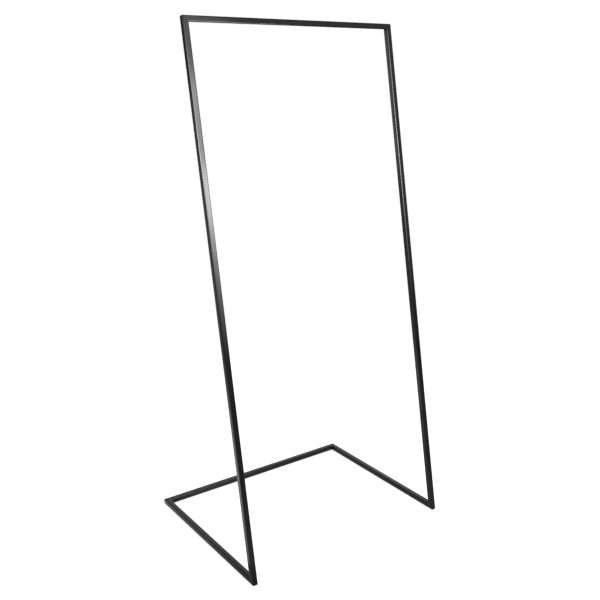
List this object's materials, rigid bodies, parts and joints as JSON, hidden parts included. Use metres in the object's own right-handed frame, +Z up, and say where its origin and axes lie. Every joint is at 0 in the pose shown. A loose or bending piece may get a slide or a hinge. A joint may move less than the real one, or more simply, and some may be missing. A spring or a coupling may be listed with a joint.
{
  "type": "sign stand",
  "caption": "Floor-standing open frame of black square steel tube: a U-shaped base, uprights that lean back over it and a top rail that holds or hangs a sign or banner.",
  "frame": {"origin": "on the floor, at the centre of the stand's footprint", "axes": "+Z up, +Y towards the back, which is the way the uprights lean, and +X to the right as seen from the front"},
  "size_m": [0.84, 0.65, 1.7999],
  "materials": {
    "black_frame": "semi-gloss black powder coat",
    "key_steel": "bright zinc plate",
    "screw_steel": "black oxide",
    "pad_rubber": "matte black"
  },
  "bodies": {
    "root": {"left_upright": "black_frame", "right_upright": "black_frame", "top_rail": "black_frame", "left_base_rail": "black_frame", "right_base_rail": "black_frame", "rear_base_rail": "black_frame", "corner_key_top_left": "key_steel", "corner_key_top_right": "key_steel", "corner_key_front_left": "key_steel", "corner_key_front_right": "key_steel", "corner_key_rear_left": "key_steel", "corner_key_rear_right": "key_steel", "set_screw_left_upright_at_top_left": "screw_steel", "set_screw_left_upright_at_front_left": "screw_steel", "set_screw_right_upright_at_top_right": "screw_steel", "set_screw_right_upright_at_front_right": "screw_steel", "set_screw_top_rail_at_top_left": "screw_steel", "set_screw_top_rail_at_top_right": "screw_steel", "set_screw_left_base_rail_at_front_left": "screw_steel", "set_screw_left_base_rail_at_rear_left": "screw_steel", "set_screw_right_base_rail_at_front_right": "screw_steel", "set_screw_right_base_rail_at_rear_right": "screw_steel", "set_screw_rear_base_rail_at_rear_left": "screw_steel", "set_screw_rear_base_rail_at_rear_right": "screw_steel", "floor_pad_front_left": "pad_rubber", "floor_pad_front_right": "pad_rubber", "floor_pad_rear_left": "pad_rubber", "floor_pad_rear_right": "pad_rubber"}
  },
  "joints": []
}
